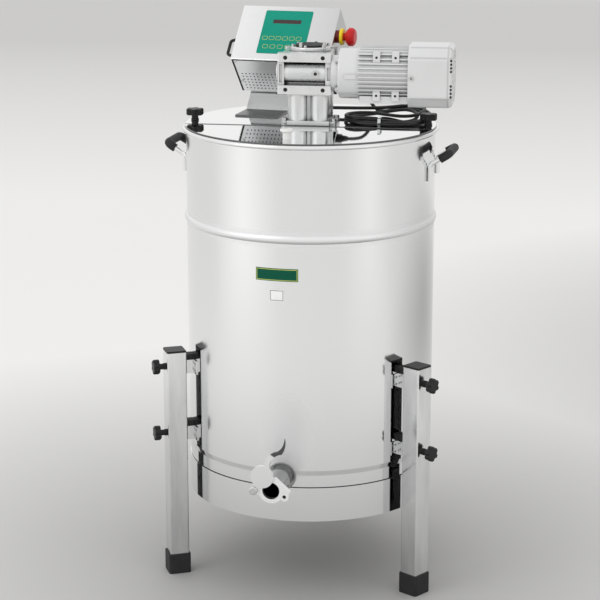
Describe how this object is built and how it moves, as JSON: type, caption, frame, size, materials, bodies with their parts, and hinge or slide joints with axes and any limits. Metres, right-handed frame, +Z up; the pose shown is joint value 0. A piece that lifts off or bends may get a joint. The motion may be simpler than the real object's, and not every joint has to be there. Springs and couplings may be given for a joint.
{
  "type": "honey creamer",
  "caption": "Free-standing stainless honey creamer: a round tank on square legs with a geared stirrer motor and control box on its part-hinged lid and a swing gate at its foot.",
  "frame": {"origin": "on the floor under the stirrer shaft's axis", "axes": "+Z up, -Y towards the front where the outlet is, +X along the motor's shaft to the viewer's right"},
  "size_m": [0.6041, 0.6768, 1.1363],
  "materials": {
    "tank_steel": "satin",
    "lid_steel": "mirror polished",
    "valve_steel": "polished",
    "leg_steel": "satin",
    "black_rubber": "matt",
    "black_plastic": "fine grain",
    "white_plastic": "gloss",
    "cast_aluminium": "bead blasted",
    "gear_steel": "machined",
    "gear_bronze": "machined",
    "motor_paint": "satin paint",
    "motor_core": "laminated",
    "console_steel": "satin",
    "membrane": "satin film",
    "board": "satin",
    "stop_dark": "satin",
    "stop_yellow": "satin",
    "stop_red": "gloss",
    "zinc": "zinc plated",
    "cable_sheath": "matt",
    "tie_foil": "silver film"
  },
  "bodies": {
    "base": {"tank_wall": "tank_steel", "tank_floor": "tank_steel", "seam_seal": "black_rubber", "base_skirt": "tank_steel", "outlet_stub": "tank_steel", "gate_body": "valve_steel", "gate_pivot": "zinc", "handle_bows": "tank_steel", "handle_grips": "black_rubber", "leg_left": "leg_steel", "leg_right": "leg_steel", "leg_rear": "leg_steel", "leg_caps": "black_plastic", "leg_rubbers": "black_rubber", "tank_brackets": "leg_steel", "crossbar": "tank_steel", "rear_cover": "lid_steel", "hinge_pin": "zinc", "drive_tower": "cast_aluminium", "gearbox_housing": "cast_aluminium", "gearbox_covers": "cast_aluminium", "output_cap": "black_rubber", "bearings": "gear_steel", "fasteners": "zinc", "motor_flange": "motor_paint", "motor_frame": "motor_paint", "motor_stator": "motor_core", "fan_cover": "motor_paint", "terminal_box": "motor_paint", "console_shell": "console_steel", "vent_panel": "console_steel", "console_stand": "console_steel", "keypad_membrane": "membrane", "control_board": "board", "estop_base": "stop_dark", "estop_collar": "stop_yellow", "console_pull": "black_rubber", "console_glands": "black_plastic", "mains_lead": "cable_sheath", "mains_hank": "cable_sheath", "mains_plug": "black_rubber", "hank_tie": "tie_foil", "motor_lead": "cable_sheath"},
    "front_lid": {"front_lid": "lid_steel", "lid_lift_knob": "white_plastic"},
    "gate_flap": {"gate_flap": "valve_steel"},
    "stirrer": {"stirrer_shaft": "tank_steel", "stirrer_blades": "tank_steel", "worm_wheel": "gear_bronze"},
    "rotor": {"motor_rotor": "gear_steel", "worm_shaft": "gear_steel"},
    "estop": {"estop_head": "stop_red"},
    "clamp_left": {"clamp_knob_left": "black_plastic"},
    "clamp_right": {"clamp_knob_right": "black_plastic"},
    "leg_knob_right_lower": {"leg_knob_right_lower": "black_plastic"},
    "leg_knob_right_upper": {"leg_knob_right_upper": "black_plastic"},
    "leg_knob_left_lower": {"leg_knob_left_lower": "black_plastic"},
    "leg_knob_left_upper": {"leg_knob_left_upper": "black_plastic"},
    "leg_knob_rear_lower": {"leg_knob_rear_lower": "black_plastic"},
    "leg_knob_rear_upper": {"leg_knob_rear_upper": "black_plastic"}
  },
  "joints": [
    {"name": "lid_hinge", "type": "hinge", "parent": "base", "child": "front_lid", "pos_m": [0, -0.048, 0.92425], "axis": [-1, 0, 0], "range_deg": [0, 45]},
    {"name": "gate_swing", "type": "hinge", "parent": "base", "child": "gate_flap", "pos_m": [-0.06408, -0.33351, 0.263], "axis": [-0.0924, -0.9957, 0], "range_deg": [-60, 35]},
    {"name": "stirrer_spin", "type": "hinge", "parent": "base", "child": "stirrer", "pos_m": [0, 0, 0.5], "axis": [0, 0, 1], "continuous": true},
    {"name": "motor_spin", "type": "hinge", "parent": "base", "child": "rotor", "pos_m": [0, -0.045, 1.032], "axis": [1, 0, 0], "continuous": true},
    {"name": "stop_press", "type": "slide", "parent": "base", "child": "estop", "axis": [-0.99, 0.1409, 0], "range_m": [0, 0.006]},
    {"name": "clamp_left_turn", "type": "hinge", "parent": "base", "child": "clamp_left", "pos_m": [-0.2358, 0, 0.93], "axis": [0, 0, 1], "continuous": true},
    {"name": "clamp_right_turn", "type": "hinge", "parent": "base", "child": "clamp_right", "pos_m": [0.2358, 0, 0.93], "axis": [0, 0, 1], "continuous": true},
    {"name": "right_lower_knob_turn", "type": "hinge", "parent": "base", "child": "leg_knob_right_lower", "pos_m": [0.24484, -0.17336, 0.302], "axis": [0.8161, -0.5779, 0], "continuous": true},
    {"name": "right_upper_knob_turn", "type": "hinge", "parent": "base", "child": "leg_knob_right_upper", "pos_m": [0.24484, -0.17336, 0.442], "axis": [0.8161, -0.5779, 0], "continuous": true},
    {"name": "left_lower_knob_turn", "type": "hinge", "parent": "base", "child": "leg_knob_left_lower", "pos_m": [-0.27255, -0.12536, 0.302], "axis": [-0.9085, -0.4179, 0], "continuous": true},
    {"name": "left_upper_knob_turn", "type": "hinge", "parent": "base", "child": "leg_knob_left_upper", "pos_m": [-0.27255, -0.12536, 0.442], "axis": [-0.9085, -0.4179, 0], "continuous": true},
    {"name": "rear_lower_knob_turn", "type": "hinge", "parent": "base", "child": "leg_knob_rear_lower", "pos_m": [0.02771, 0.29872, 0.302], "axis": [0.0924, 0.9957, 0], "continuous": true},
    {"name": "rear_upper_knob_turn", "type": "hinge", "parent": "base", "child": "leg_knob_rear_upper", "pos_m": [0.02771, 0.29872, 0.442], "axis": [0.0924, 0.9957, 0], "continuous": true}
  ],
  "couplings": [
    {"joint": "motor_spin", "follows": "stirrer_spin", "ratio": -30}
  ]
}
